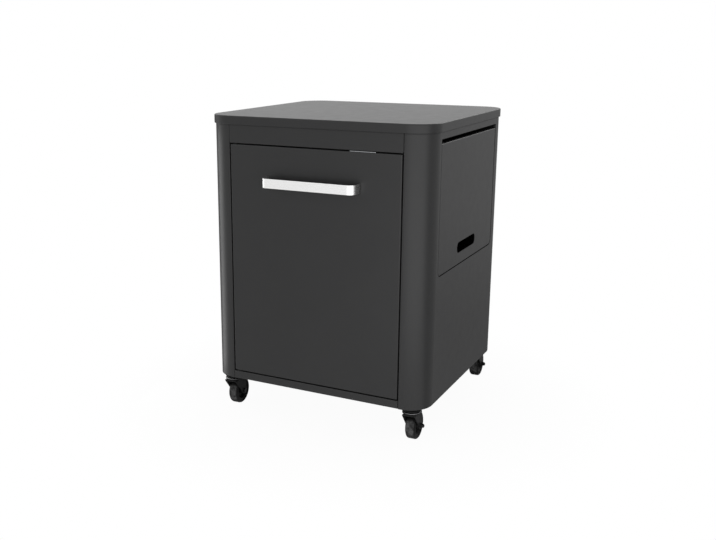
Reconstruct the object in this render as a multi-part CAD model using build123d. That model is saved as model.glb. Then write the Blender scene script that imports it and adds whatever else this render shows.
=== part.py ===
# Garden table: a sheet-steel cabinet on four swivel casters, with a door and a fold-up side shelf.
# Millimetres. Front is -Y, the shelf is on the +X side, Z is up from the floor.
import os

from build123d import *

os.makedirs("parts", exist_ok=True)

# Cabinet body
TOTAL_H = 822.0
BASE_Z = 98.2
BODY_W = 628.0
BODY_D = 596.0
BODY_R = 63.0
SHEET = 1.2
BEND = 1.6
FLANGE = 15.0
FLANGE_Y = 230.0

# Worktop, a folded lid that slips over the top of the body
OVERHANG = 4.0
SKIRT = 22.5
WORKTOP_EDGE = 2.5
WORKTOP_HEM = 1.0
STIFFENER_H = 16.0
STIFFENER_Y = 120.0
STIFFENER_L = 570.0

# Door opening, front rail and floor
JAMB_X = 245.0
JAMB_DEPTH = 18.5
SEAM = 0.8
STOP_LIP = 12.0
STOP_LIP_Y = -276.4
RAIL_Z = 751.5
RAIL_DEPTH = 30.0
FLOOR_Z = 119.5

# Rear panel
REAR_RETURN_X = 225.0
REAR_PANEL_X = 247.0
REAR_SCREW_X = 236.0
REAR_SCREW_Z = [152.0, 309.0, 466.0, 623.0, 780.0]
HOSE_SLOT_W = 90.0
HOSE_SLOT_H = 40.0
HOSE_SLOT_Z = 727.0
VENT_COUNT = 9
VENT_PITCH = 34.0
VENT_W = 8.0
VENT_H = 60.0
VENT_Z = 172.0

# Door
DOOR_X = 242.0
DOOR_Z = 122.5
DOOR_H = 626.0
DOOR_T = 18.0
DOOR_EDGE = 2.5
PIVOT_FROM_EDGE = 12.0
PIVOT_FROM_FACE = 8.0
PIN_R = 4.0
PIN_PLAY = 0.05
LINER_FIELD_W = 400.0
LINER_FIELD_H = 540.0
LINER_FIELD_R = 30.0
LINER_FIELD_DEPTH = 6.0
CATCH_X = 136.0
CATCH_W = 70.0
CATCH_D = 14.0
BUMPER_R = 5.0
BUMPER_Z = [192.0, 672.0]

# Door handle, a bent flat bar
HANDLE_L = 263.0
HANDLE_H = 24.2
HANDLE_T = 5.0
HANDLE_PROJECTION = 39.0
HANDLE_BEND = 19.0
HANDLE_Z = 658.5

# Fold-up shelf in the right side
OPEN_MID = -3.8
OPEN_Y = 220.8
OPEN_LOW = 435.3
OPEN_TOP = 781.2
OPEN_R = 18.0
SHELF_MID = -4.7
SHELF_Y = 219.1
SHELF_LOW = 437.3
SHELF_TOP = 770.0
SHELF_R = 16.0
SHELF_T = 12.0
SHELF_SHEET = 1.5
SHELF_EDGE = 2.0
EAR_T = 2.4
HAND_HOLE_W = 147.0
HAND_HOLE_H = 29.0
HAND_HOLE_R = 13.0
HAND_HOLE_Y = -3.0
HAND_HOLE_Z = 482.5
ROD_X = 296.0
ROD_Z = 741.0
ROD_R = 4.0
ROD_TRAVEL = 20.0
BRACKET_Y = 222.3
BRACKET_T = 3.0
BRACKET_LOW = 724.0
BRACKET_TOP = 777.0
BRACKET_IN = 247.0
STOP_BAR_X = 255.0
STOP_BAR_Z = 759.5

# Casters
CASTER_X = 269.0
CASTER_Y = 262.0
CASTER_TRAIL = 25.0
CASTER_REST_ANGLE = 2.0
WHEEL_R = 37.5
WHEEL_W = 27.0
TYRE_ROUND = 6.0
HUB_R = 27.0
FORK_GAP = 31.0
FORK_T = 2.5
FORK_TOP = 82.0
CROWN_FRONT = -22.5
CROWN_BACK = 31.0
CROWN_H = 5.0
DISH_R = 24.0
HEAD_R = 26.0
AXLE_R = 5.0
AXLE_END_R = 4.0
KING_PIN_R = 5.0
STEM_R = 6.0
GUSSET_T = 3.0

# Sizes that follow from those above
HALF_W = BODY_W / 2
HALF_D = BODY_D / 2
MID = SHEET / 2
WALL_X = HALF_W - SHEET
WALL_Y = HALF_D - SHEET
REAR_IN = WALL_Y - SHEET
PANEL_TOP = TOTAL_H - SHEET
PIVOT_X = -DOOR_X + PIVOT_FROM_EDGE
PIVOT_Y = -HALF_D + PIVOT_FROM_FACE
DOOR_TOP = DOOR_Z + DOOR_H
DOOR_BACK = -HALF_D + DOOR_T
GUSSET_Z = BASE_Z + SHEET


def bent(points, radius, thickness=SHEET):
    """Face of a folded strip whose middle line runs through the points."""
    return trace(FilletPolyline(*points, radius=radius), thickness)


def block(x0, x1, y0, y1, z0, z1):
    """Plate or bar between two opposite corners."""
    middle = Pos((x0 + x1) / 2, (y0 + y1) / 2, (z0 + z1) / 2)
    return middle * Box(abs(x1 - x0), abs(y1 - y0), abs(z1 - z0))


def upright(x, y, radius, z0, z1):
    """Round bar standing between two heights."""
    return Pos(x, y, (z0 + z1) / 2) * Cylinder(radius, z1 - z0)


def along_x(face, x0, x1):
    """Solid that carries a face drawn in Y and Z from x0 to x1."""
    return extrude(Plane.YZ.offset(x0) * face, x1 - x0)


def along_y(face, y0, y1):
    """Solid that carries a face drawn in X and Z from y0 to y1."""
    return extrude(Plane.XZ.offset(-y1) * face, y1 - y0)


# Worktop and its stiffeners
def make_worktop():
    width = BODY_W + 2 * OVERHANG
    depth = BODY_D + 2 * OVERHANG
    radius = BODY_R + OVERHANG
    base = Pos(0, 0, TOTAL_H - SKIRT)
    lid = extrude(base * RectangleRounded(width, depth, radius), SKIRT)
    lid = fillet(lid.faces().sort_by(Axis.Z)[-1].edges(), WORKTOP_EDGE)
    lid = fillet(lid.faces().sort_by(Axis.Z)[0].edges(), WORKTOP_HEM)
    hollow = RectangleRounded(width - 2 * SHEET, depth - 2 * SHEET, radius - SHEET)
    return lid - extrude(base * hollow, SKIRT - SHEET)


def make_worktop_stiffeners():
    high = PANEL_TOP - MID
    low = high - STIFFENER_H
    bars = []
    for y in (-STIFFENER_Y, STIFFENER_Y):
        hat = [(y - 46, high), (y - 26, high), (y - 20, low), (y + 20, low), (y + 26, high), (y + 46, high)]
        bars.append(along_x(bent(hat, BEND), -STIFFENER_L / 2, STIFFENER_L / 2))
    return bars


# Side panels, folded round the front and rear corners
def make_side_panel(side):
    jamb = side * (JAMB_X + MID)
    wall = side * (HALF_W - MID)
    front = -(HALF_D - MID)
    plan = [(jamb, front + JAMB_DEPTH), (jamb, front), (wall, front), (wall, -front), (side * REAR_RETURN_X, -front)]
    panel = extrude(Pos(0, 0, BASE_Z) * bent(plan, [BEND, BODY_R - MID, BODY_R - MID]), PANEL_TOP - BASE_Z)
    for z in (BASE_Z, PANEL_TOP - SHEET):
        panel += block(side * WALL_X, side * (WALL_X - FLANGE), -FLANGE_Y, FLANGE_Y, z, z + SHEET)
    # The jamb ends above the floor
    panel -= block(side * (JAMB_X - 2), side * (JAMB_X + 3), -WALL_Y, -HALF_D + 40, BASE_Z - 1, FLOOR_Z + 0.3)
    for z in REAR_SCREW_Z:
        panel -= Pos(side * REAR_SCREW_X, HALF_D, z) * Rot(90, 0, 0) * Cylinder(2.2, 10)
    return panel


def add_door_stop(panel):
    jamb = JAMB_X + MID
    lip = [(JAMB_X - STOP_LIP, STOP_LIP_Y), (jamb, STOP_LIP_Y), (jamb, STOP_LIP_Y - 6)]
    low = DOOR_Z + 6
    high = DOOR_TOP - 6
    return panel + extrude(Pos(0, 0, low) * bent(lip, BEND), high - low)


def rounded_low(half_width, low, high, radius):
    """Rectangle in Y and Z with its two lower corners rounded."""
    face = Pos(0, (low + high) / 2) * Rectangle(2 * half_width, high - low)
    return fillet(face.vertices().group_by(Axis.Y)[0], radius)


def make_right_side_panel():
    panel = add_door_stop(make_side_panel(1))
    opening = Pos(OPEN_MID, 0) * rounded_low(OPEN_Y, OPEN_LOW, OPEN_TOP, OPEN_R)
    return panel - along_x(opening, HALF_W - 10, HALF_W + 10)


# Front rail above the door
def make_front_top_rail():
    front = -(HALF_D - MID)
    low = RAIL_Z + MID
    high = PANEL_TOP - MID
    channel = [(-HALF_D + RAIL_DEPTH, low), (front, low), (front, high), (-HALF_D + 22, high)]
    half = JAMB_X - SEAM
    rail = along_x(bent(channel, BEND), -half, half)
    for side in (-1, 1):
        rail += block(side * (JAMB_X - 2), side * JAMB_X, -HALF_D + 1, -HALF_D + JAMB_DEPTH, RAIL_Z + 5, PANEL_TOP - 5)
    rail -= upright(PIVOT_X, PIVOT_Y, 6.02, RAIL_Z - 2, RAIL_Z + 4)
    half_catch = CATCH_W / 2 - 2
    rail -= block(CATCH_X - half_catch, CATCH_X + half_catch, -HALF_D + 3, -HALF_D + 3 + CATCH_D, RAIL_Z - 1, RAIL_Z + 2)
    return rail


# Floor with its folded front edge
def floor_plan():
    plan = RectangleRounded(2 * WALL_X, 2 * WALL_Y, BODY_R - SHEET + 0.6)
    return plan - Pos(0, REAR_IN + 10) * Rectangle(BODY_W, 20)


def make_floor_panel():
    panel = extrude(Pos(0, 0, FLOOR_Z - SHEET) * floor_plan(), SHEET)
    front = -(HALF_D - MID)
    low = BASE_Z + MID
    high = FLOOR_Z - MID
    edge = [(-HALF_D + 14, low), (front, low), (front, high), (-HALF_D + 30, high)]
    half = JAMB_X - SEAM
    panel += along_x(bent(edge, BEND), -half, half)
    for side in (-1, 1):
        panel += block(side * WALL_X, side * (WALL_X - SHEET), -212, 212, GUSSET_Z, FLOOR_Z)
    panel += block(-200, 200, REAR_IN - SHEET, REAR_IN, BASE_Z, FLOOR_Z)
    return panel - upright(PIVOT_X, PIVOT_Y, 6.02, FLOOR_Z - 4, FLOOR_Z + 2)


def make_caster_gussets():
    sheet = extrude(Pos(0, 0, GUSSET_Z) * floor_plan(), GUSSET_T)
    plates = []
    for sx in (-1, 1):
        for sy in (-1, 1):
            corner = block(sx * 205, sx * 320, sy * 216, sy * REAR_IN, GUSSET_Z - 1, GUSSET_Z + 10)
            plate = sheet & corner
            plates.append(plate - upright(sx * CASTER_X, sy * CASTER_Y, STEM_R + 0.3, GUSSET_Z - 1, GUSSET_Z + 10))
    return plates


# Rear panel with low vents and a slot for a gas hose
def make_rear_panel():
    face_y = REAR_IN + MID
    high = PANEL_TOP - MID
    strip = [(REAR_IN - 16, high), (face_y, high), (face_y, BASE_Z)]
    panel = along_x(bent(strip, BEND), -REAR_PANEL_X, REAR_PANEL_X)
    cuts = Pos(0, HOSE_SLOT_Z) * SlotOverall(HOSE_SLOT_W, HOSE_SLOT_H)
    for i in range(VENT_COUNT):
        x = (i - (VENT_COUNT - 1) / 2) * VENT_PITCH
        cuts += Pos(x, VENT_Z) * SlotOverall(VENT_H, VENT_W, rotation=90)
    for x in (-REAR_SCREW_X, REAR_SCREW_X):
        for z in REAR_SCREW_Z:
            cuts += Pos(x, z) * Circle(2.2)
    return panel - along_y(cuts, HALF_D - 8, HALF_D + 8)


def button_screw(head_r, head_h, shank_r, length):
    """Screw along Z with its head above Z 0."""
    head = Pos(0, 0, head_h / 2) * Cylinder(head_r, head_h)
    head = fillet(head.edges().sort_by(Axis.Z)[-1], head_h * 0.7)
    socket = extrude(RegularPolygon(head_r * 0.5, 6), head_h)
    return head - Pos(0, 0, head_h * 0.45) * socket + Pos(0, 0, -length / 2) * Cylinder(shank_r, length)


def make_rear_panel_screws():
    screw = button_screw(4.0, 2.2, 2.0, 7.0)
    places = [(x, z) for x in (-REAR_SCREW_X, REAR_SCREW_X) for z in REAR_SCREW_Z]
    return [Pos(x, HALF_D, z) * Rot(-90, 0, 0) * screw for x, z in places]


# Door leaf
def make_door_skin():
    leaf = block(-DOOR_X, DOOR_X, -HALF_D, DOOR_BACK, DOOR_Z, DOOR_TOP)
    leaf = fillet(leaf.faces().sort_by(Axis.Y)[0].edges(), DOOR_EDGE)
    inset = DOOR_X - SHEET
    leaf -= block(-inset, inset, -WALL_Y, DOOR_BACK + 1, DOOR_Z + SHEET, DOOR_TOP - SHEET)
    leaf -= upright(PIVOT_X, PIVOT_Y, PIN_R + 0.02, DOOR_Z - 5, DOOR_TOP + 5)
    for side in (-1, 1):
        x = side * (HANDLE_L - HANDLE_T) / 2
        leaf -= Pos(x, -HALF_D, HANDLE_Z) * Rot(90, 0, 0) * Cylinder(1.9, 6)
    return leaf


def make_door_liner():
    half = DOOR_X - SHEET
    plate = block(-half, half, DOOR_BACK - SHEET, DOOR_BACK, DOOR_Z + SHEET, DOOR_TOP - SHEET)
    place = Pos(0, (DOOR_Z + DOOR_TOP) / 2)
    outer = place * RectangleRounded(LINER_FIELD_W, LINER_FIELD_H, LINER_FIELD_R)
    inner = place * RectangleRounded(LINER_FIELD_W - 2 * SHEET, LINER_FIELD_H - 2 * SHEET, LINER_FIELD_R - SHEET)
    plate += along_y(outer, DOOR_BACK - LINER_FIELD_DEPTH - SHEET, DOOR_BACK)
    return plate - along_y(inner, DOOR_BACK - LINER_FIELD_DEPTH, DOOR_BACK + 1)


def make_pivot_blocks():
    blocks = []
    for low, high in ((DOOR_Z + SHEET, DOOR_Z + 29), (DOOR_TOP - 29, DOOR_TOP - SHEET)):
        body = block(-DOOR_X + SHEET, PIVOT_X + 14, -WALL_Y, DOOR_BACK - SHEET, low, high)
        blocks.append(body - upright(PIVOT_X, PIVOT_Y, PIN_R + 0.02, low - 1, high + 1))
    return blocks


def make_pivot_pin(low, high):
    pin = upright(PIVOT_X, PIVOT_Y, PIN_R, low, high)
    return chamfer(pin.edges().filter_by(GeomType.CIRCLE), 0.8)


def make_pivot_bush(collar_low, collar_high, sleeve_low, sleeve_high):
    bush = upright(PIVOT_X, PIVOT_Y, 7.5, collar_low, collar_high)
    bush += upright(PIVOT_X, PIVOT_Y, 6.0, sleeve_low, sleeve_high)
    return bush - upright(PIVOT_X, PIVOT_Y, PIN_R + PIN_PLAY, 0, TOTAL_H)


def make_door_handle():
    end = HANDLE_L / 2 - HANDLE_T / 2
    front = -HALF_D - HANDLE_PROJECTION + HANDLE_T / 2
    plan = [(-end, -HALF_D), (-end, front), (end, front), (end, -HALF_D)]
    face = bent(plan, HANDLE_BEND - HANDLE_T / 2, HANDLE_T)
    bar = extrude(Pos(0, 0, HANDLE_Z - HANDLE_H / 2) * face, HANDLE_H)
    rims = bar.faces().filter_by(Plane.XY).edges()
    bar = fillet([e for e in rims if e.center().Y < -HALF_D - 0.1], 0.8)
    for side in (-1, 1):
        bar -= Pos(side * end, -HALF_D, HANDLE_Z) * Rot(90, 0, 0) * Cylinder(1.62, 24)
    return bar


def make_handle_screws():
    screw = button_screw(3.6, 2.2, 1.6, 12.0)
    end = HANDLE_L / 2 - HANDLE_T / 2
    return [Pos(x, -WALL_Y, HANDLE_Z) * Rot(-90, 0, 0) * screw for x in (-end, end)]


# Magnetic catch over the door and its striker plate
def make_catch_housing():
    half = CATCH_W / 2 - 2.1
    front = -HALF_D + 3.1
    back = front + CATCH_D - 0.2
    low = RAIL_Z - 1.2
    housing = block(CATCH_X - half, CATCH_X + half, front, back, low, RAIL_Z + 11)
    housing += block(CATCH_X - half - 6, CATCH_X + half + 6, front, back, RAIL_Z + SHEET, RAIL_Z + SHEET + 2.5)
    housing = fillet(housing.edges().filter_by(Axis.X).sort_by(Axis.Z)[-2:], 1.5)
    return housing - block(CATCH_X - 22, CATCH_X + 22, front + 3, back - 3, low - 1, low + 7)


def make_catch_magnet():
    front = -HALF_D + 6.1
    low = RAIL_Z - 1.2
    return block(CATCH_X - 22, CATCH_X + 22, front, front + CATCH_D - 6.2, low, low + 7)


def make_striker_plate():
    half = CATCH_W / 2
    plate = block(CATCH_X - half, CATCH_X + half, -HALF_D + 2.5, -HALF_D + 2.5 + CATCH_D, DOOR_TOP, DOOR_TOP + 1.2)
    return fillet(plate.edges().filter_by(Axis.Z), 2.0)


def make_door_bumpers():
    bumpers = []
    x = JAMB_X - STOP_LIP / 2
    back = STOP_LIP_Y - MID
    for z in BUMPER_Z:
        disc = along_y(Pos(x, z) * Circle(BUMPER_R), DOOR_BACK + 0.2, back)
        bumpers.append(fillet(disc.faces().sort_by(Axis.Y)[0].edges(), 1.0))
    return bumpers


# Fold-up shelf
def make_shelf_panel():
    outline = rounded_low(SHELF_Y, SHELF_LOW, SHELF_TOP, SHELF_R)
    tray = along_x(outline, HALF_W - SHELF_T, HALF_W)
    tray = fillet(tray.faces().sort_by(Axis.X)[-1].edges(), SHELF_EDGE)
    inside = rounded_low(SHELF_Y - SHELF_SHEET, SHELF_LOW + SHELF_SHEET, SHELF_TOP - SHELF_SHEET, SHELF_R - SHELF_SHEET)
    skin = HALF_W - SHELF_SHEET
    tray -= along_x(inside, HALF_W - SHELF_T - 1, skin)
    hole = Pos(HAND_HOLE_Y, HAND_HOLE_Z) * RectangleRounded(HAND_HOLE_W, HAND_HOLE_H, HAND_HOLE_R)
    return tray - along_x(hole, skin - 1, HALF_W + 1)


def make_shelf_stiffener():
    high = HALF_W - SHELF_SHEET - MID
    low = high - 8.0
    z = 612.0
    hat = [(high, z - 44), (high, z - 26), (low, z - 20), (low, z + 20), (high, z + 26), (high, z + 44)]
    return along_y(bent(hat, BEND), -195, 195)


def make_shelf_ears():
    boss = Pos(ROD_X, ROD_Z) * Circle(9)
    tongue = Pos(HALF_W - 6.35, ROD_Z + 12.8) * Rectangle(9.3, 28.4)
    face = make_hull(boss.edges() + tongue.edges()) - Pos(ROD_X, ROD_Z) * Circle(ROD_R + PIN_PLAY)
    return [along_y(face, SHELF_Y, SHELF_Y + EAR_T), along_y(face, -SHELF_Y - EAR_T, -SHELF_Y)]


def make_shelf_rod():
    reach = BRACKET_Y + BRACKET_T + 6
    rod = along_y(Pos(ROD_X, ROD_Z) * Circle(ROD_R), -reach, reach)
    return chamfer(rod.edges().filter_by(GeomType.CIRCLE), 0.8)


def make_shelf_rod_caps():
    start = BRACKET_Y + BRACKET_T + 0.4
    ring = Pos(ROD_X, ROD_Z) * (Circle(7.5) - Circle(ROD_R + 0.02))
    return [along_y(ring, start, start + 4), along_y(ring, -start - 4, -start)]


def make_shelf_bracket(side):
    plate_y = side * (BRACKET_Y + BRACKET_T / 2)
    flange_x = WALL_X - BRACKET_T / 2
    plan = [(BRACKET_IN, plate_y), (flange_x, plate_y), (flange_x, side * 230)]
    bracket = extrude(Pos(0, 0, BRACKET_LOW) * bent(plan, 3.5, BRACKET_T), BRACKET_TOP - BRACKET_LOW)
    waste = make_face(Polyline((241, 717), (291, 717), (241, 754), close=True))
    waste += Pos(ROD_X - ROD_TRAVEL / 2, ROD_Z) * SlotCenterToCenter(ROD_TRAVEL, 2 * ROD_R + 0.6)
    return bracket - along_y(waste, plate_y - 3, plate_y + 3)


def make_shelf_stop_bar():
    face = Pos(STOP_BAR_X, STOP_BAR_Z + 7) * RectangleRounded(8, 14, 1.5)
    return along_y(face, -BRACKET_Y, BRACKET_Y)


# Casters, each drawn with its swivel axis on Z and the wheel trailing towards +Y
def make_caster_head():
    low = FORK_TOP - FORK_T - 0.3
    race = FORK_TOP + 4.4
    groove = HEAD_R - 5
    profile = Polyline(
        (0, low - 2.8), (8, low - 2.8), (8, low), (KING_PIN_R, low), (KING_PIN_R, race), (groove - 1, race),
        (groove, race + 1), (groove, 91), (HEAD_R - 2, 91), (HEAD_R - 1.5, 91.6), (HEAD_R - 2, 92.2), (groove, 92.2),
        (groove, 95), (HEAD_R - 1, 95), (HEAD_R, 96), (HEAD_R, GUSSET_Z), (STEM_R, GUSSET_Z),
        (STEM_R, GUSSET_Z + 11.5), (STEM_R - 0.8, GUSSET_Z + 12.3), (0, GUSSET_Z + 12.3), close=True,
    )
    return revolve(Plane.XZ * make_face(profile), Axis.Z)


def make_caster_nut():
    nut = extrude(Pos(0, 0, GUSSET_Z + GUSSET_T) * RegularPolygon(9.5, 6, major_radius=False), 7)
    return nut - upright(0, 0, STEM_R + 0.02, GUSSET_Z, 120)


def make_fork():
    half = FORK_GAP / 2 + FORK_T / 2
    arch = [(-half, 20), (-half, FORK_TOP - FORK_T / 2), (half, FORK_TOP - FORK_T / 2), (half, 20)]
    fork = along_y(bent(arch, 4.5, FORK_T), -40, 80)
    fork += block(-half, half, CROWN_FRONT, CROWN_FRONT + FORK_T, FORK_TOP - CROWN_H, FORK_TOP - 1)
    boss = Pos(CASTER_TRAIL, WHEEL_R) * Circle(10)
    middle = Pos((CROWN_FRONT + CROWN_BACK) / 2, FORK_TOP - CROWN_H / 2)
    crown = middle * RectangleRounded(CROWN_BACK - CROWN_FRONT, CROWN_H, 2.2)
    fork = fork & along_x(make_hull(boss.edges() + crown.edges()), -40, 40)
    dish = upright(0, 0, DISH_R, FORK_TOP - 0.5, FORK_TOP + 4)
    fork += fillet(dish.edges().sort_by(Axis.Z)[-1], 2.5)
    fork -= upright(0, 0, KING_PIN_R + PIN_PLAY, 60, 100)
    return fork - Pos(0, CASTER_TRAIL, WHEEL_R) * Rot(0, 90, 0) * Cylinder(AXLE_END_R + 0.02, 60)


def make_axle():
    inner = FORK_GAP / 2
    outer = inner + FORK_T
    profile = Polyline(
        (-outer - 4, 0), (-outer - 4, 5), (-outer - 3, 6.5), (-outer, 6.5), (-outer, AXLE_END_R),
        (-inner, AXLE_END_R), (-inner, AXLE_R), (inner, AXLE_R), (inner, AXLE_END_R), (outer + 3.2, AXLE_END_R),
        (outer + 3.2, 0), close=True,
    )
    return Pos(0, CASTER_TRAIL, WHEEL_R) * revolve(make_face(profile), Axis.X)


def make_axle_nut():
    start = FORK_GAP / 2 + FORK_T
    nut = extrude(Plane.YZ.offset(start) * RegularPolygon(6.2, 6, major_radius=False), 3.2)
    dome = Pos(start + 2.2, 0, 0) * Rot(0, 90, 0) * Cylinder(5.4, 7.5, align=(Align.CENTER, Align.CENTER, Align.MIN))
    nut += fillet(dome.edges().sort_by(Axis.X)[-1], 4.0)
    nut -= Pos(start - 1, 0, 0) * Rot(0, 90, 0) * Cylinder(
        AXLE_END_R + 0.02, 4.3, align=(Align.CENTER, Align.CENTER, Align.MIN)
    )
    return Pos(0, CASTER_TRAIL, WHEEL_R) * nut


def make_tyre():
    half = WHEEL_W / 2
    section = Pos(0, (HUB_R + WHEEL_R) / 2) * Rectangle(2 * half, WHEEL_R - HUB_R)
    section = fillet(section.vertices().group_by(Axis.Y)[-1], TYRE_ROUND)
    return Pos(0, CASTER_TRAIL, WHEEL_R) * revolve(section, Axis.X)


def make_hub():
    rim = WHEEL_W / 2 - 1.5
    boss = FORK_GAP / 2 - 0.4
    profile = Polyline(
        (-boss, AXLE_R + PIN_PLAY), (-boss, 9), (-5, 11.5), (-4, 21), (-rim + 1, 24), (-rim, HUB_R), (rim, HUB_R),
        (rim - 1, 24), (4, 21), (5, 11.5), (boss, 9), (boss, AXLE_R + PIN_PLAY), close=True,
    )
    return Pos(0, CASTER_TRAIL, WHEEL_R) * revolve(make_face(profile), Axis.X)


def place_caster(shape, sx, sy):
    """Turns a caster piece to its rest angle under one corner, with the axle nut outwards."""
    if sx < 0:
        shape = mirror(shape, Plane.YZ)
    return Pos(sx * CASTER_X, sy * CASTER_Y, 0) * Rot(0, 0, CASTER_REST_ANGLE) * shape


CORNERS = {"front_left": (-1, -1), "front_right": (1, -1), "rear_left": (-1, 1), "rear_right": (1, 1)}

nodes = {
    "worktop": make_worktop(),
    "worktop_stiffeners": make_worktop_stiffeners(),
    "left_side_panel": make_side_panel(-1),
    "right_side_panel": make_right_side_panel(),
    "front_top_rail": make_front_top_rail(),
    "floor_panel": make_floor_panel(),
    "rear_panel": make_rear_panel(),
    "rear_panel_screws": make_rear_panel_screws(),
    "caster_gussets": make_caster_gussets(),
    "upper_pivot_bush": make_pivot_bush(RAIL_Z - 1.9, RAIL_Z, RAIL_Z - 1, RAIL_Z + 7),
    "lower_pivot_bush": make_pivot_bush(FLOOR_Z, DOOR_Z - 0.1, FLOOR_Z - 8.5, FLOOR_Z + 1),
    "catch_housing": make_catch_housing(),
    "catch_magnet": make_catch_magnet(),
    "door_bumpers": make_door_bumpers(),
    "shelf_bracket_front": make_shelf_bracket(-1),
    "shelf_bracket_rear": make_shelf_bracket(1),
    "shelf_stop_bar": make_shelf_stop_bar(),
    "door_skin": make_door_skin(),
    "door_liner": make_door_liner(),
    "door_handle": make_door_handle(),
    "handle_screws": make_handle_screws(),
    "pivot_blocks": make_pivot_blocks(),
    "upper_pivot_pin": make_pivot_pin(DOOR_TOP - 27, RAIL_Z + 6),
    "lower_pivot_pin": make_pivot_pin(FLOOR_Z - 7.5, DOOR_Z + 27),
    "striker_plate": make_striker_plate(),
    "shelf_rod": make_shelf_rod(),
    "shelf_rod_caps": make_shelf_rod_caps(),
    "shelf_panel": make_shelf_panel(),
    "shelf_stiffener": make_shelf_stiffener(),
    "shelf_ears": make_shelf_ears(),
}

# The shelf and its fittings sit a little forward of the middle
for name in [key for key in nodes if key.startswith("shelf_")]:
    pieces = nodes[name] if isinstance(nodes[name], list) else [nodes[name]]
    nodes[name] = [Pos(0, SHELF_MID, 0) * piece for piece in pieces]

nodes["caster_heads"] = [place_caster(make_caster_head(), *c) for c in CORNERS.values()]
nodes["caster_nuts"] = [place_caster(make_caster_nut(), *c) for c in CORNERS.values()]
caster_pieces = {"fork": make_fork(), "axle": make_axle(), "axle_nut": make_axle_nut(), "tyre": make_tyre(), "hub": make_hub()}
for corner, signs in CORNERS.items():
    for piece, shape in caster_pieces.items():
        nodes[corner + "_" + piece] = place_caster(shape, *signs)

# The origin lies on the floor under the middle of the whole table
FRAME_Y = -(nodes["door_handle"].bounding_box().min.Y + nodes["rear_left_tyre"].bounding_box().max.Y) / 2

for name, shape in nodes.items():
    pieces = shape if isinstance(shape, list) else [shape]
    solids = [Pos(0, FRAME_Y, 0) * solid for piece in pieces for solid in piece.solids()]
    export_step(Compound(solids), "parts/" + name + ".step")
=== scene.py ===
import math

import bpy
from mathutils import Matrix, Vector


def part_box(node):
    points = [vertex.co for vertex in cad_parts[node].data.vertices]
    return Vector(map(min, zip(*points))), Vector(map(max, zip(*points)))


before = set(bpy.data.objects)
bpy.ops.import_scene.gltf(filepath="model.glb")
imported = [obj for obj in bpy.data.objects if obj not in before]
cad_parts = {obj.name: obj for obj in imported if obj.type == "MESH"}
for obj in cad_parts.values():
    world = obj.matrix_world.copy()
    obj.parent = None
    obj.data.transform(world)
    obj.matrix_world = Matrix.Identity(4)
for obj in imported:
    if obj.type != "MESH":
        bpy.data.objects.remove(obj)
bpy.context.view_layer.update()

scene = bpy.context.scene

# Camera of the photograph
CAMERA_PLACE = (1.07116, -2.34494, 1.03140)
CAMERA_TILT = (math.radians(75.59), 0.0, math.radians(27.4))
CAMERA_LENS = 46.55
CAMERA_SENSOR = 36.0
CAMERA_SHIFT_X = 0.0602

# Centres of the front corner posts, either side of the middle
POST_RADIUS = 0.063
PANEL_LOW, PANEL_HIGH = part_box("right_side_panel")
POST_X = PANEL_HIGH.x - POST_RADIUS
POST_Y = PANEL_LOW.y + POST_RADIUS

# Direction of the caster axles at rest
AXLE_ANGLE = math.radians(2.0)
AXLE = (math.cos(AXLE_ANGLE), math.sin(AXLE_ANGLE), 0.0)

# Heights between which a bare metal band, painted on the rim of a swivel dish for its glint, fades in, and
# then out
FORK_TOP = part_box("front_left_fork")[1].z
GLINT_BAND_FADE_IN = (FORK_TOP - 0.0022, FORK_TOP - 0.0014)
GLINT_BAND_FADE_OUT = (FORK_TOP + 0.0004, FORK_TOP + 0.0010)

# Width of the seams and corners in which shade is painted dark into the coat's colour, and its gloss is
# dulled
CREASE_SHADE_REACH = 0.007

# Depth of the shade painted black on a tyre under its fork
FORK_SHADE_REACH = 0.022

# Shade is painted dark on the door's pins, where the gap over the door shows them
SHADED_PIN_NODES = ("upper_pivot_pin", "lower_pivot_pin")

# Floor and sky
WHITE = (1.0, 1.0, 1.0, 1.0)
FLOOR_COLOUR = (0.82, 0.82, 0.82, 1.0)
FLOOR_HALF = 30.0
SKY_LIGHT = 0.24

# Share of pure white that the eye sees on the floor beside the table, and the distances where it grows to 1
FLOOR_SHARE = 0.96
FLOOR_GROWS = (0.3, 0.75)

# Whiteness of the floor in reflections, by turn about the nearer front post:
# 0 left, 0.25 front, 0.5 right, 0.75 behind
FRONT_CARD = [
    (0.0, 1.0), (0.05, 0.9), (0.25, 0.9), (0.33, 1.0),
    (0.48, 1.0), (0.51, 0.0), (0.94, 0.0), (1.0, 0.8),
]
REAR_CARD = [
    (0.43, 0.0), (0.50, 0.38), (0.54, 0.62), (0.60, 0.62),
    (0.67, 0.47), (0.75, 0.47), (0.80, 0.15),
]

# Share of the rear card beside the table, and the distances where it grows to 1
REAR_SHARE = 0.65
REAR_GROWS = (1.0, 3.2)

# The sky that the worktop mirrors falls to this level between two directions along X
SKY_LEVEL = 0.86
SKY_FADES = (-0.50, -0.20)

# Softboxes: place, aim, width and height, power in watts
SOFTBOXES = {
    "key": ((-1.9, -2.7, 2.5), (-0.2, -0.3, 0.3), (1.8, 1.8), 10.0),
    "post": ((0.65, -0.928, 0.48), (0.25, -0.235, 0.48), (1.44, 0.94), 4.2),
    "left": ((-0.55, -0.302, 0.38), (-0.25, -0.235, 0.38), (0.18, 0.74), 0.60),
    "back": ((0.9, 2.6, 2.4), (0.0, 0.3, 0.4), (1.8, 1.8), 18.0),
}


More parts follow.
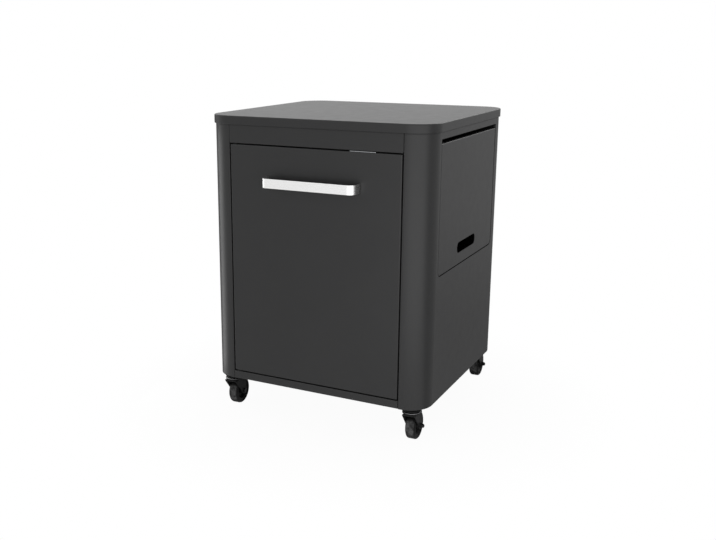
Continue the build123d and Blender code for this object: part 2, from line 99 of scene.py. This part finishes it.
# Node helpers
class Nodes:
    """Adds and links the nodes of one tree."""

    def __init__(self, tree):
        self.tree = tree

    def add(self, kind, **settings):
        node = self.tree.nodes.new(kind)
        for key, value in settings.items():
            setattr(node, key, value)
        return node

    def link(self, start, end):
        self.tree.links.new(start, end)

    def axis(self, vector, name):
        """One axis of a vector."""
        node = self.add("ShaderNodeSeparateXYZ")
        self.link(vector, node.inputs["Vector"])
        return node.outputs[name]

    def spread(self, value, low, high, start=0.3, end=0.7):
        """Value from start to end, mapped to the span from low to high."""
        node = self.add("ShaderNodeMapRange")
        node.inputs["From Min"].default_value = start
        node.inputs["From Max"].default_value = end
        node.inputs["To Min"].default_value = low
        node.inputs["To Max"].default_value = high
        self.link(value, node.inputs["Value"])
        return node.outputs["Result"]

    def combined(self, operation, first, second):
        node = self.add("ShaderNodeMath", operation=operation)
        self.link(first, node.inputs[0])
        self.link(second, node.inputs[1])
        return node.outputs["Value"]

    def product(self, first, second):
        return self.combined("MULTIPLY", first, second)

    def larger(self, first, second):
        return self.combined("MAXIMUM", first, second)

    def rays(self, *names):
        """1 for the kinds of ray named, otherwise 0."""
        kinds = self.add("ShaderNodeLightPath").outputs
        share = kinds[names[0]]
        for name in names[1:]:
            share = self.larger(share, kinds[name])
        return share

    def mixed_shaders(self, factor, first, second):
        node = self.add("ShaderNodeMixShader")
        self.link(factor, node.inputs["Fac"])
        self.link(first, node.inputs[1])
        self.link(second, node.inputs[2])
        return node.outputs["Shader"]


class Paint(Nodes):
    """Builds one procedural material."""

    def __init__(self, name):
        self.material = bpy.data.materials.new(name)
        self.material.use_nodes = True
        super().__init__(self.material.node_tree)
        self.shader = self.tree.nodes["Principled BSDF"]
        coordinates = self.add("ShaderNodeTexCoord")
        self.place = coordinates.outputs["Object"]
        self.normal = coordinates.outputs["Normal"]

    def stretched(self, scale):
        """Object coordinates scaled by axis."""
        mapping = self.add("ShaderNodeMapping")
        mapping.inputs["Scale"].default_value = scale
        self.link(self.place, mapping.inputs["Vector"])
        return mapping.outputs["Vector"]

    def noise(self, scale, detail=2.0, rough=0.5, where=None):
        node = self.add("ShaderNodeTexNoise")
        node.inputs["Scale"].default_value = scale
        node.inputs["Detail"].default_value = detail
        node.inputs["Roughness"].default_value = rough
        self.link(where or self.place, node.inputs["Vector"])
        return node.outputs["Fac"]

    def cells(self, scale):
        node = self.add("ShaderNodeTexVoronoi")
        node.inputs["Scale"].default_value = scale
        self.link(self.place, node.inputs["Vector"])
        return node.outputs["Color"]

    def ramp(self, value, stops):
        """Colour ramp through (position, colour) stops."""
        node = self.add("ShaderNodeValToRGB")
        elements = node.color_ramp.elements
        while len(elements) < len(stops):
            elements.new(0.5)
        for element, (position, colour) in zip(elements, stops):
            element.position = position
            element.color = (*colour, 1.0)
        self.link(value, node.inputs["Fac"])
        return node.outputs["Color"]

    def greys(self, value, stops):
        """Grey ramp through (position, brightness) stops."""
        return self.ramp(value, [(position, (grey, grey, grey)) for position, grey in stops])

    def tone(self, value, dark, light, start=0.3, end=0.7, blue=0.0):
        """Grey from dark to light, with a little blue added or, below 0, taken away."""
        return self.ramp(value, [(start, (dark, dark, dark + blue)), (end, (light, light, light + blue))])

    def mixed(self, factor, first, second):
        """Colours mixed by a factor."""
        node = self.add("ShaderNodeMix", data_type="RGBA")
        self.link(factor, node.inputs["Factor"])
        self.link(first, node.inputs["A"])
        self.link(second, node.inputs["B"])
        return node.outputs["Result"]

    def summed(self, first, second, weight):
        """first plus second times weight."""
        node = self.add("ShaderNodeMath", operation="MULTIPLY_ADD")
        self.link(second, node.inputs[0])
        node.inputs[1].default_value = weight
        self.link(first, node.inputs[2])
        return node.outputs["Value"]

    def facing(self, direction):
        """1 on faces square to a direction, 0 on faces along it."""
        along = self.add("ShaderNodeVectorMath", operation="DOT_PRODUCT")
        along.inputs[1].default_value = direction
        self.link(self.normal, along.inputs[0])
        size = self.add("ShaderNodeMath", operation="ABSOLUTE")
        self.link(along.outputs["Value"], size.inputs[0])
        return size.outputs["Value"]

    def openness(self, reach):
        """1 on an open face, falling towards 0 in a crease narrower than the reach."""
        node = self.add("ShaderNodeAmbientOcclusion")
        node.inputs["Distance"].default_value = reach
        return node.outputs["AO"]

    def bump(self, height, strength, distance):
        node = self.add("ShaderNodeBump")
        node.inputs["Strength"].default_value = strength
        node.inputs["Distance"].default_value = distance
        self.link(height, node.inputs["Height"])
        self.link(node.outputs["Normal"], self.shader.inputs["Normal"])

    def set(self, **values):
        """Constant shader inputs, with spaces written as underscores."""
        for key, value in values.items():
            self.shader.inputs[key.replace("_", " ")].default_value = value

    def feed(self, **sources):
        """Linked shader inputs, with spaces written as underscores."""
        for key, source in sources.items():
            self.link(source, self.shader.inputs[key.replace("_", " ")])


# Materials
def make_coat():
    """Satin powder coat: fine orange peel, faint mottling and a sparse fleck, with shade painted dark into
    creases and seams, where it is also duller.
    """
    p = Paint("coat")
    peel = p.noise(620.0, 2.0)
    grain = p.noise(2600.0, 1.0)
    cloud = p.tone(p.noise(7.0, 3.0), 0.0290, 0.0325, blue=0.0006)
    fleck = p.tone(grain, 0.025, 0.038, 0.35, 0.75, blue=0.0005)
    # Painted shade: the coat's colour goes dark in creases, seams and under overhangs
    painted_crease_shade = p.tone(grain, 0.006, 0.010, 0.35, 0.75)
    openness = p.openness(CREASE_SHADE_REACH)
    unshaded_share = p.spread(openness, 0.0, 1.0, 0.5, 0.95)
    open_face = p.mixed(p.spread(peel, 0.15, 0.45), cloud, fleck)
    p.feed(Base_Color=p.mixed(unshaded_share, painted_crease_shade, open_face))
    satin = p.spread(p.noise(38.0, 4.0), 0.345, 0.375)
    dull = p.spread(openness, 0.7, 0.3, 0.6, 0.95)
    p.feed(Roughness=p.larger(satin, dull))
    p.bump(p.summed(peel, grain, 0.35), 0.10, 0.0002)
    p.set(IOR=1.38)
    return p.material


def make_handle_steel():
    """Bright stainless steel, brushed along the bar."""
    p = Paint("handle_steel")
    lines = p.noise(1.0, 4.0, 0.6, p.stretched((14.0, 14.0, 5200.0)))
    broad = p.noise(1.0, 2.0, 0.5, p.stretched((9.0, 9.0, 900.0)))
    p.feed(Base_Color=p.tone(lines, 0.86, 0.93, 0.25, 0.75, blue=-0.005))
    p.feed(Roughness=p.spread(p.summed(lines, broad, 0.5), 0.20, 0.34, 0.45, 1.0))
    p.bump(lines, 0.05, 0.0001)
    p.set(Metallic=1.0, Anisotropic=0.45)
    return p.material


def make_zinc():
    """Zinc plating with soft spangle."""
    p = Paint("zinc")
    spangle = p.cells(260.0)
    haze = p.noise(60.0, 3.0)
    bright = p.ramp(spangle, [(0.1, (0.36, 0.37, 0.385)), (0.9, (0.50, 0.51, 0.53))])
    dull = p.ramp(haze, [(0.3, (0.31, 0.32, 0.33)), (0.7, (0.43, 0.44, 0.45))])
    p.feed(Base_Color=p.mixed(p.spread(haze, 0.2, 0.6), bright, dull))
    p.feed(Roughness=p.spread(haze, 0.30, 0.48))
    p.bump(p.noise(900.0, 2.0), 0.06, 0.0001)
    p.set(Metallic=1.0)
    return p.material


def make_shaded_pin_zinc():
    """Zinc plating painted dark with shade, for pins seen in the gap over the door."""
    p = Paint("shaded_pin_zinc")
    # Painted shade: the pins are as dark as the shaded gap over the door
    mottle = p.noise(500.0, 3.0)
    p.feed(Base_Color=p.tone(mottle, 0.006, 0.020))
    p.feed(Roughness=p.spread(mottle, 0.35, 0.50))
    p.bump(mottle, 0.05, 0.0001)
    p.set(Specular_IOR_Level=0.15)
    return p.material


def make_ferrite():
    """Grey sintered magnet."""
    p = Paint("magnet")
    grit = p.noise(1500.0, 3.0, 0.7)
    p.feed(Base_Color=p.tone(grit, 0.035, 0.085, 0.3, 0.75, blue=0.003))
    p.feed(Roughness=p.spread(grit, 0.5, 0.75))
    p.bump(grit, 0.15, 0.0002)
    return p.material


def make_black_steel():
    """Black dipped coat on pressed steel, with a bare metal band painted on the rim of the swivel dish for
    its glint.
    """
    p = Paint("black_steel")
    skin = p.noise(420.0, 3.0)
    height = p.axis(p.place, "Z")
    # Painted highlight: a bare metal band round the dish's rim, put there for its glint
    glint_band = p.product(p.spread(height, 0.0, 1.0, *GLINT_BAND_FADE_IN), p.spread(height, 1.0, 0.0, *GLINT_BAND_FADE_OUT))
    coat = p.tone(p.noise(45.0, 3.0), 0.016, 0.028, blue=0.0003)
    glint_metal = p.tone(skin, 0.15, 0.25, blue=0.003)
    p.feed(Base_Color=p.mixed(glint_band, coat, glint_metal), Metallic=glint_band)
    p.feed(Roughness=p.spread(skin, 0.28, 0.40))
    p.bump(skin, 0.06, 0.0002)
    p.set(Specular_IOR_Level=0.05)
    return p.material


def make_black_zinc():
    """Black passivated fasteners."""
    p = Paint("black_zinc")
    mottle = p.noise(320.0, 3.0)
    p.feed(Base_Color=p.tone(mottle, 0.010, 0.022, blue=0.001))
    p.feed(Roughness=p.spread(mottle, 0.26, 0.42))
    p.bump(p.noise(1400.0, 2.0), 0.06, 0.0001)
    p.set(Metallic=0.75)
    return p.material


def make_nylon():
    """Black bearing nylon, faintly silky."""
    p = Paint("nylon")
    silk = p.noise(700.0, 3.0)
    p.feed(Base_Color=p.tone(silk, 0.005, 0.009, blue=0.0003))
    p.feed(Roughness=p.spread(silk, 0.42, 0.56))
    p.bump(silk, 0.05, 0.0002)
    p.set(Specular_IOR_Level=0.15)
    return p.material


def make_bumper_rubber():
    """Soft matt rubber."""
    p = Paint("bumper_rubber")
    dust = p.noise(900.0, 3.0)
    p.feed(Base_Color=p.tone(dust, 0.018, 0.034, 0.35, 0.75))
    p.feed(Roughness=p.spread(dust, 0.7, 0.85))
    p.bump(dust, 0.12, 0.0002)
    return p.material


def make_tyre_rubber():
    """Wheel rubber: a scuffed, smeared running face and black shoulders, with shade painted black on the
    running face under the fork.
    """
    p = Paint("tyre_rubber")
    scuff = p.noise(240.0, 4.0, 0.65)
    smear = p.spread(p.noise(82.0, 2.0), 0.0, 1.0, 0.38, 0.62)
    dusty = p.tone(scuff, 0.09, 0.15)
    rubbed = p.tone(scuff, 0.02, 0.05)
    unworn_and_shade = p.tone(scuff, 0.003, 0.007)
    running = p.spread(p.facing(AXLE), 1.0, 0.0, 0.30, 0.75)
    # Painted shade: the running face goes black where the fork's crown overhangs the wheel
    unshaded_share = p.spread(p.openness(FORK_SHADE_REACH), 0.0, 1.0, 0.72, 0.98)
    worn = p.mixed(smear, dusty, rubbed)
    p.feed(Base_Color=p.mixed(p.product(running, unshaded_share), unworn_and_shade, worn))
    p.feed(Roughness=p.spread(scuff, 0.56, 0.74))
    p.bump(p.noise(1300.0, 3.0), 0.10, 0.0002)
    p.set(Specular_IOR_Level=0.15)
    return p.material


def make_hub_plastic():
    """Moulded black plastic with a fine eroded texture."""
    p = Paint("hub_plastic")
    spark = p.noise(1700.0, 2.0)
    p.feed(Base_Color=p.tone(p.noise(55.0, 3.0), 0.003, 0.006))
    p.feed(Roughness=p.spread(spark, 0.40, 0.55))
    p.bump(spark, 0.10, 0.0002)
    p.set(Specular_IOR_Level=0.18)
    return p.material


MATERIALS = {
    "coat": make_coat(),
    "handle_steel": make_handle_steel(),
    "zinc": make_zinc(),
    "shaded_pin_zinc": make_shaded_pin_zinc(),
    "magnet": make_ferrite(),
    "black_steel": make_black_steel(),
    "black_zinc": make_black_zinc(),
    "nylon": make_nylon(),
    "bumper_rubber": make_bumper_rubber(),
    "tyre_rubber": make_tyre_rubber(),
    "hub_plastic": make_hub_plastic(),
}


def dress_nodes():
    """Gives each CAD node the material of its slot."""
    for name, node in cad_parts.items():
        for spot in node.material_slots:
            finish = spot.material.name.split(".")[0]
            # Painted shade on the pins in the gap over the door
            if name in SHADED_PIN_NODES:
                finish = "shaded_pin_zinc"
            spot.material = MATERIALS[finish]


# Floor, world, lamps and camera
def turn_about_posts(p):
    """Direction from the nearer front post, or from the line between the posts, as a share of a turn."""
    between = p.add("ShaderNodeClamp")
    between.inputs["Min"].default_value = -POST_X
    between.inputs["Max"].default_value = POST_X
    p.link(p.axis(p.place, "X"), between.inputs["Value"])
    nearest = p.add("ShaderNodeCombineXYZ")
    nearest.inputs["Y"].default_value = POST_Y
    p.link(between.outputs["Result"], nearest.inputs["X"])
    outward = p.add("ShaderNodeVectorMath", operation="SUBTRACT")
    p.link(p.place, outward.inputs[0])
    p.link(nearest.outputs["Vector"], outward.inputs[1])
    turn = p.add("ShaderNodeTexGradient", gradient_type="RADIAL")
    p.link(outward.outputs["Vector"], turn.inputs["Vector"])
    return turn.outputs["Fac"]


def make_floor_paint():
    """Matt floor that is white to the eye, and in reflections white in front, dark beside and pale behind."""
    p = Paint("floor")
    p.set(Base_Color=FLOOR_COLOUR, Roughness=0.9, Specular_IOR_Level=0.1)
    distance = p.add("ShaderNodeVectorMath", operation="LENGTH")
    p.link(p.place, distance.inputs[0])
    away = distance.outputs["Value"]
    camera = p.rays("Is Camera Ray", "Is Transmission Ray")
    glossy = p.rays("Is Glossy Ray")
    turn = turn_about_posts(p)
    behind = p.product(p.greys(turn, REAR_CARD), p.spread(away, REAR_SHARE, 1.0, *REAR_GROWS))
    mirrored = p.product(glossy, p.larger(p.greys(turn, FRONT_CARD), behind))
    glow = p.add("ShaderNodeEmission")
    p.link(p.larger(camera, mirrored), glow.inputs["Strength"])
    seen = p.product(camera, p.spread(away, FLOOR_SHARE, 1.0, *FLOOR_GROWS))
    surface = p.mixed_shaders(p.larger(seen, glossy), p.shader.outputs["BSDF"], glow.outputs["Emission"])
    p.link(surface, p.tree.nodes["Material Output"].inputs["Surface"])
    return p.material


def make_floor():
    mesh = bpy.data.meshes.new("floor")
    half = FLOOR_HALF
    corners = [(-half, -half, 0), (half, -half, 0), (half, half, 0), (-half, half, 0)]
    mesh.from_pydata(corners, [], [(0, 1, 2, 3)])
    mesh.materials.append(make_floor_paint())
    floor = bpy.data.objects.new("floor", mesh)
    scene.collection.objects.link(floor)


def make_world():
    """White background to the eye and in reflections, and an even soft light."""
    world = bpy.data.worlds.new("studio")
    scene.world = world
    world.use_nodes = True
    sky = Nodes(world.node_tree)
    sky.tree.nodes.clear()
    direction = sky.add("ShaderNodeTexCoord").outputs["Generated"]
    fade = sky.spread(sky.axis(direction, "X"), 1.0, SKY_LEVEL, *SKY_FADES)
    camera = sky.rays("Is Camera Ray", "Is Transmission Ray")
    white = sky.add("ShaderNodeBackground")
    white.inputs["Color"].default_value = WHITE
    sky.link(sky.larger(camera, fade), white.inputs["Strength"])
    soft = sky.add("ShaderNodeBackground")
    soft.inputs["Color"].default_value = WHITE
    soft.inputs["Strength"].default_value = SKY_LIGHT
    seen = sky.rays("Is Camera Ray", "Is Glossy Ray", "Is Transmission Ray")
    surface = sky.mixed_shaders(seen, soft.outputs["Background"], white.outputs["Background"])
    sky.link(surface, sky.add("ShaderNodeOutputWorld").inputs["Surface"])


def add_softbox(name, place, aim, size, power):
    lamp = bpy.data.lights.new(name, "AREA")
    lamp.shape = "RECTANGLE"
    lamp.size, lamp.size_y = size
    lamp.energy = power
    box = bpy.data.objects.new(name, lamp)
    scene.collection.objects.link(box)
    box.location = place
    box.rotation_euler = (Vector(aim) - Vector(place)).to_track_quat("-Z", "Y").to_euler()


def make_camera():
    data = bpy.data.cameras.new("camera")
    data.lens = CAMERA_LENS
    data.sensor_width = CAMERA_SENSOR
    data.shift_x = CAMERA_SHIFT_X
    camera = bpy.data.objects.new("camera", data)
    scene.collection.objects.link(camera)
    camera.location = CAMERA_PLACE
    camera.rotation_euler = CAMERA_TILT
    scene.camera = camera


dress_nodes()
make_floor()
make_world()
for name, setting in SOFTBOXES.items():
    add_softbox(name, *setting)
make_camera()

scene.view_settings.view_transform = "Standard"
